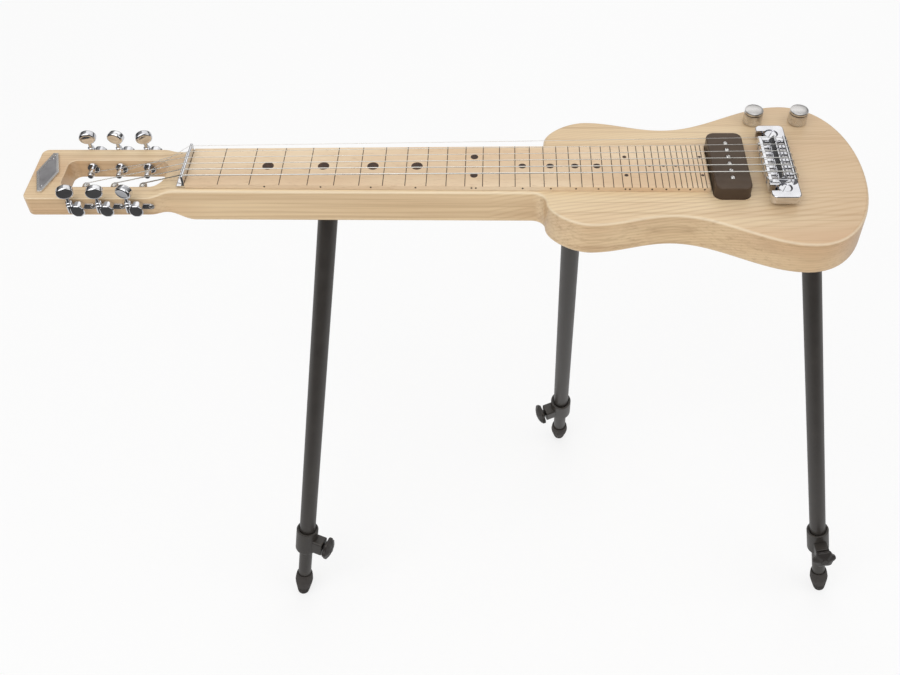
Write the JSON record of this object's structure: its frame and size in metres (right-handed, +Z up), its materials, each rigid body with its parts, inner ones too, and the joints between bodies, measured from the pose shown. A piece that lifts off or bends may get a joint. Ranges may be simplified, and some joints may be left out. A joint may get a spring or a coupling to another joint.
{
  "type": "lap steel guitar",
  "caption": "Lap steel guitar: slotted head with worm tuners, inlaid fretboard, pickup and forked bridge in a waisted wooden plank on splayed telescopic legs.",
  "frame": {"origin": "on the floor, under the middle of the whole object's box", "axes": "+X along the strings from the head to the tail, -Y toward the player, +Z up"},
  "size_m": [0.8932, 0.2864, 0.6491],
  "materials": {
    "ash_body": "pale ash with straight brown grain under a clear satin lacquer",
    "fretboard_wood": "pale wood board with dark inlaid fret lines and dots",
    "chrome_hardware": "bright chrome plating",
    "string_steel": "plain and nickel-wound steel string",
    "black_plastic": "moulded black plastic with a soft shine",
    "coil_and_poles": "steel pole screws and keeper round a taped coil",
    "plated_steel": "plated steel can, bush and nut",
    "leg_paint": "satin black powder coat",
    "foot_rubber": "dark ribbed rubber"
  },
  "bodies": {
    "instrument": {"body_neck_and_head": "ash_body", "fretboard": "fretboard_wood", "nut": "chrome_hardware", "tuner_housing_1": "chrome_hardware", "tuner_housing_2": "chrome_hardware", "tuner_housing_3": "chrome_hardware", "tuner_housing_6": "chrome_hardware", "tuner_housing_5": "chrome_hardware", "tuner_housing_4": "chrome_hardware", "pickup_cover": "black_plastic", "pickup_coil_and_poles": "coil_and_poles", "string_1": "string_steel", "string_2": "string_steel", "string_3": "string_steel", "string_4": "string_steel", "string_5": "string_steel", "string_6": "string_steel", "volume_potentiometer": "plated_steel", "tone_potentiometer": "plated_steel", "output_jack": "chrome_hardware", "control_cavity_cover": "black_plastic", "leg_socket_head": "chrome_hardware", "leg_socket_rear": "chrome_hardware", "leg_socket_tail": "chrome_hardware"},
    "tuner_post_1": {"tuner_post_1": "chrome_hardware"},
    "tuner_button_1": {"tuner_button_1": "chrome_hardware"},
    "tuner_post_2": {"tuner_post_2": "chrome_hardware"},
    "tuner_button_2": {"tuner_button_2": "chrome_hardware"},
    "tuner_post_3": {"tuner_post_3": "chrome_hardware"},
    "tuner_button_3": {"tuner_button_3": "chrome_hardware"},
    "tuner_post_6": {"tuner_post_6": "chrome_hardware"},
    "tuner_button_6": {"tuner_button_6": "chrome_hardware"},
    "tuner_post_5": {"tuner_post_5": "chrome_hardware"},
    "tuner_button_5": {"tuner_button_5": "chrome_hardware"},
    "tuner_post_4": {"tuner_post_4": "chrome_hardware"},
    "tuner_button_4": {"tuner_button_4": "chrome_hardware"},
    "bridge": {"bridge_body": "chrome_hardware"},
    "saddle_1": {"saddle_1": "chrome_hardware"},
    "saddle_2": {"saddle_2": "chrome_hardware"},
    "saddle_3": {"saddle_3": "chrome_hardware"},
    "saddle_4": {"saddle_4": "chrome_hardware"},
    "saddle_5": {"saddle_5": "chrome_hardware"},
    "saddle_6": {"saddle_6": "chrome_hardware"},
    "bridge_stud_far": {"bridge_stud_far": "chrome_hardware"},
    "bridge_stud_near": {"bridge_stud_near": "chrome_hardware"},
    "volume_knob": {"volume_knob": "chrome_hardware"},
    "tone_knob": {"tone_knob": "chrome_hardware"},
    "upper_leg_head": {"upper_leg_head": "leg_paint"},
    "lower_leg_head": {"lower_leg_head": "leg_paint", "rubber_foot_head": "foot_rubber"},
    "clamp_screw_head": {"clamp_screw_head": "leg_paint"},
    "upper_leg_rear": {"upper_leg_rear": "leg_paint"},
    "lower_leg_rear": {"lower_leg_rear": "leg_paint", "rubber_foot_rear": "foot_rubber"},
    "clamp_screw_rear": {"clamp_screw_rear": "leg_paint"},
    "upper_leg_tail": {"upper_leg_tail": "leg_paint"},
    "lower_leg_tail": {"lower_leg_tail": "leg_paint", "rubber_foot_tail": "foot_rubber"},
    "clamp_screw_tail": {"clamp_screw_tail": "leg_paint"}
  },
  "joints": [
    {"name": "tuner_button_1_turn", "type": "hinge", "parent": "instrument", "child": "tuner_button_1", "pos_m": [-0.34432, 0.0285, 0.61575], "axis": [0, 0, 1], "continuous": true},
    {"name": "tuner_post_1_turn", "type": "hinge", "parent": "instrument", "child": "tuner_post_1", "pos_m": [-0.33808, -0.0132, 0.61575], "axis": [0, 1, 0], "continuous": true},
    {"name": "tuner_button_2_turn", "type": "hinge", "parent": "instrument", "child": "tuner_button_2", "pos_m": [-0.37232, 0.0285, 0.61575], "axis": [0, 0, 1], "continuous": true},
    {"name": "tuner_post_2_turn", "type": "hinge", "parent": "instrument", "child": "tuner_post_2", "pos_m": [-0.36608, -0.0132, 0.61575], "axis": [0, 1, 0], "continuous": true},
    {"name": "tuner_button_3_turn", "type": "hinge", "parent": "instrument", "child": "tuner_button_3", "pos_m": [-0.40032, 0.0285, 0.61575], "axis": [0, 0, 1], "continuous": true},
    {"name": "tuner_post_3_turn", "type": "hinge", "parent": "instrument", "child": "tuner_post_3", "pos_m": [-0.39408, -0.0132, 0.61575], "axis": [0, 1, 0], "continuous": true},
    {"name": "tuner_button_4_turn", "type": "hinge", "parent": "instrument", "child": "tuner_button_4", "pos_m": [-0.40032, -0.0549, 0.61575], "axis": [0, 0, 1], "continuous": true},
    {"name": "tuner_post_4_turn", "type": "hinge", "parent": "instrument", "child": "tuner_post_4", "pos_m": [-0.39408, -0.0132, 0.61575], "axis": [0, 1, 0], "continuous": true},
    {"name": "tuner_button_5_turn", "type": "hinge", "parent": "instrument", "child": "tuner_button_5", "pos_m": [-0.37232, -0.0549, 0.61575], "axis": [0, 0, 1], "continuous": true},
    {"name": "tuner_post_5_turn", "type": "hinge", "parent": "instrument", "child": "tuner_post_5", "pos_m": [-0.36608, -0.0132, 0.61575], "axis": [0, 1, 0], "continuous": true},
    {"name": "tuner_button_6_turn", "type": "hinge", "parent": "instrument", "child": "tuner_button_6", "pos_m": [-0.34432, -0.0549, 0.61575], "axis": [0, 0, 1], "continuous": true},
    {"name": "tuner_post_6_turn", "type": "hinge", "parent": "instrument", "child": "tuner_post_6", "pos_m": [-0.33808, -0.0132, 0.61575], "axis": [0, 1, 0], "continuous": true},
    {"name": "volume_knob_turn", "type": "hinge", "parent": "instrument", "child": "volume_knob", "pos_m": [0.26932, 0.0648, 0.62845], "axis": [0, 0, 1], "range_deg": [-150, 150]},
    {"name": "tone_knob_turn", "type": "hinge", "parent": "instrument", "child": "tone_knob", "pos_m": [0.31522, 0.0648, 0.62845], "axis": [0, 0, 1], "range_deg": [-150, 150]},
    {"name": "bridge_lift", "type": "slide", "parent": "instrument", "child": "bridge", "axis": [0, 0, 1], "range_m": [-0.0015, 0.002], "deforming": ["string_1", "string_2", "string_3", "string_4", "string_5", "string_6"]},
    {"name": "bridge_stud_far_turn", "type": "hinge", "parent": "bridge", "child": "bridge_stud_far", "pos_m": [0.28042, 0.02805, 0.62845], "axis": [0, 0, 1], "range_deg": [-540, 720]},
    {"name": "bridge_stud_near_turn", "type": "hinge", "parent": "bridge", "child": "bridge_stud_near", "pos_m": [0.28042, -0.05445, 0.62845], "axis": [0, 0, 1], "range_deg": [-540, 720]},
    {"name": "saddle_1_slide", "type": "slide", "parent": "bridge", "child": "saddle_1", "axis": [1, 0, 0], "range_m": [-0.004, 0.004]},
    {"name": "saddle_2_slide", "type": "slide", "parent": "bridge", "child": "saddle_2", "axis": [1, 0, 0], "range_m": [-0.004, 0.004]},
    {"name": "saddle_3_slide", "type": "slide", "parent": "bridge", "child": "saddle_3", "axis": [1, 0, 0], "range_m": [-0.004, 0.004]},
    {"name": "saddle_4_slide", "type": "slide", "parent": "bridge", "child": "saddle_4", "axis": [1, 0, 0], "range_m": [-0.004, 0.004]},
    {"name": "saddle_5_slide", "type": "slide", "parent": "bridge", "child": "saddle_5", "axis": [1, 0, 0], "range_m": [-0.004, 0.004]},
    {"name": "saddle_6_slide", "type": "slide", "parent": "bridge", "child": "saddle_6", "axis": [1, 0, 0], "range_m": [-0.004, 0.004]},
    {"name": "leg_head_screw_in", "type": "hinge", "parent": "instrument", "child": "upper_leg_head", "pos_m": [-0.16028, -0.0132, 0.59045], "axis": [0.1549, 0.1814, 0.9711], "continuous": true},
    {"name": "leg_head_height", "type": "slide", "parent": "upper_leg_head", "child": "lower_leg_head", "axis": [-0.1549, -0.1814, -0.9711], "range_m": [-0.042, 0.2]},
    {"name": "clamp_head_turn", "type": "hinge", "parent": "upper_leg_head", "child": "clamp_screw_head", "pos_m": [-0.23913, -0.10553, 0.09614], "axis": [0.9359, -0.3417, -0.0855], "continuous": true},
    {"name": "leg_rear_screw_in", "type": "hinge", "parent": "instrument", "child": "upper_leg_rear", "pos_m": [0.08492, -0.0082, 0.59045], "axis": [-0.0208, -0.2376, 0.9711], "continuous": true},
    {"name": "leg_rear_height", "type": "slide", "parent": "upper_leg_rear", "child": "lower_leg_rear", "axis": [0.0208, 0.2376, -0.9711], "range_m": [-0.042, 0.2]},
    {"name": "clamp_rear_turn", "type": "hinge", "parent": "upper_leg_rear", "child": "clamp_screw_rear", "pos_m": [0.0955, 0.11275, 0.09614], "axis": [-0.9325, -0.3458, -0.1046], "continuous": true},
    {"name": "leg_tail_screw_in", "type": "hinge", "parent": "instrument", "child": "upper_leg_tail", "pos_m": [0.31792, -0.0392, 0.59045], "axis": [-0.2001, 0.1299, 0.9711], "continuous": true},
    {"name": "leg_tail_height", "type": "slide", "parent": "upper_leg_tail", "child": "lower_leg_tail", "axis": [0.2001, -0.1299, -0.9711], "range_m": [-0.042, 0.2]},
    {"name": "clamp_tail_turn", "type": "hinge", "parent": "upper_leg_tail", "child": "clamp_screw_tail", "pos_m": [0.41975, -0.10533, 0.09614], "axis": [0.0381, -0.9894, 0.1402], "continuous": true}
  ],
  "couplings": [
    {"joint": "tuner_post_1_turn", "follows": "tuner_button_1_turn", "ratio": -0.071429},
    {"joint": "tuner_post_2_turn", "follows": "tuner_button_2_turn", "ratio": -0.071429},
    {"joint": "tuner_post_3_turn", "follows": "tuner_button_3_turn", "ratio": -0.071429},
    {"joint": "tuner_post_4_turn", "follows": "tuner_button_4_turn", "ratio": -0.071429},
    {"joint": "tuner_post_5_turn", "follows": "tuner_button_5_turn", "ratio": -0.071429},
    {"joint": "tuner_post_6_turn", "follows": "tuner_button_6_turn", "ratio": -0.071429},
    {"joint": "bridge_stud_far_turn", "follows": "bridge_lift", "rad_per_m": 5026.5},
    {"joint": "bridge_stud_near_turn", "follows": "bridge_lift", "rad_per_m": 5026.5}
  ]
}
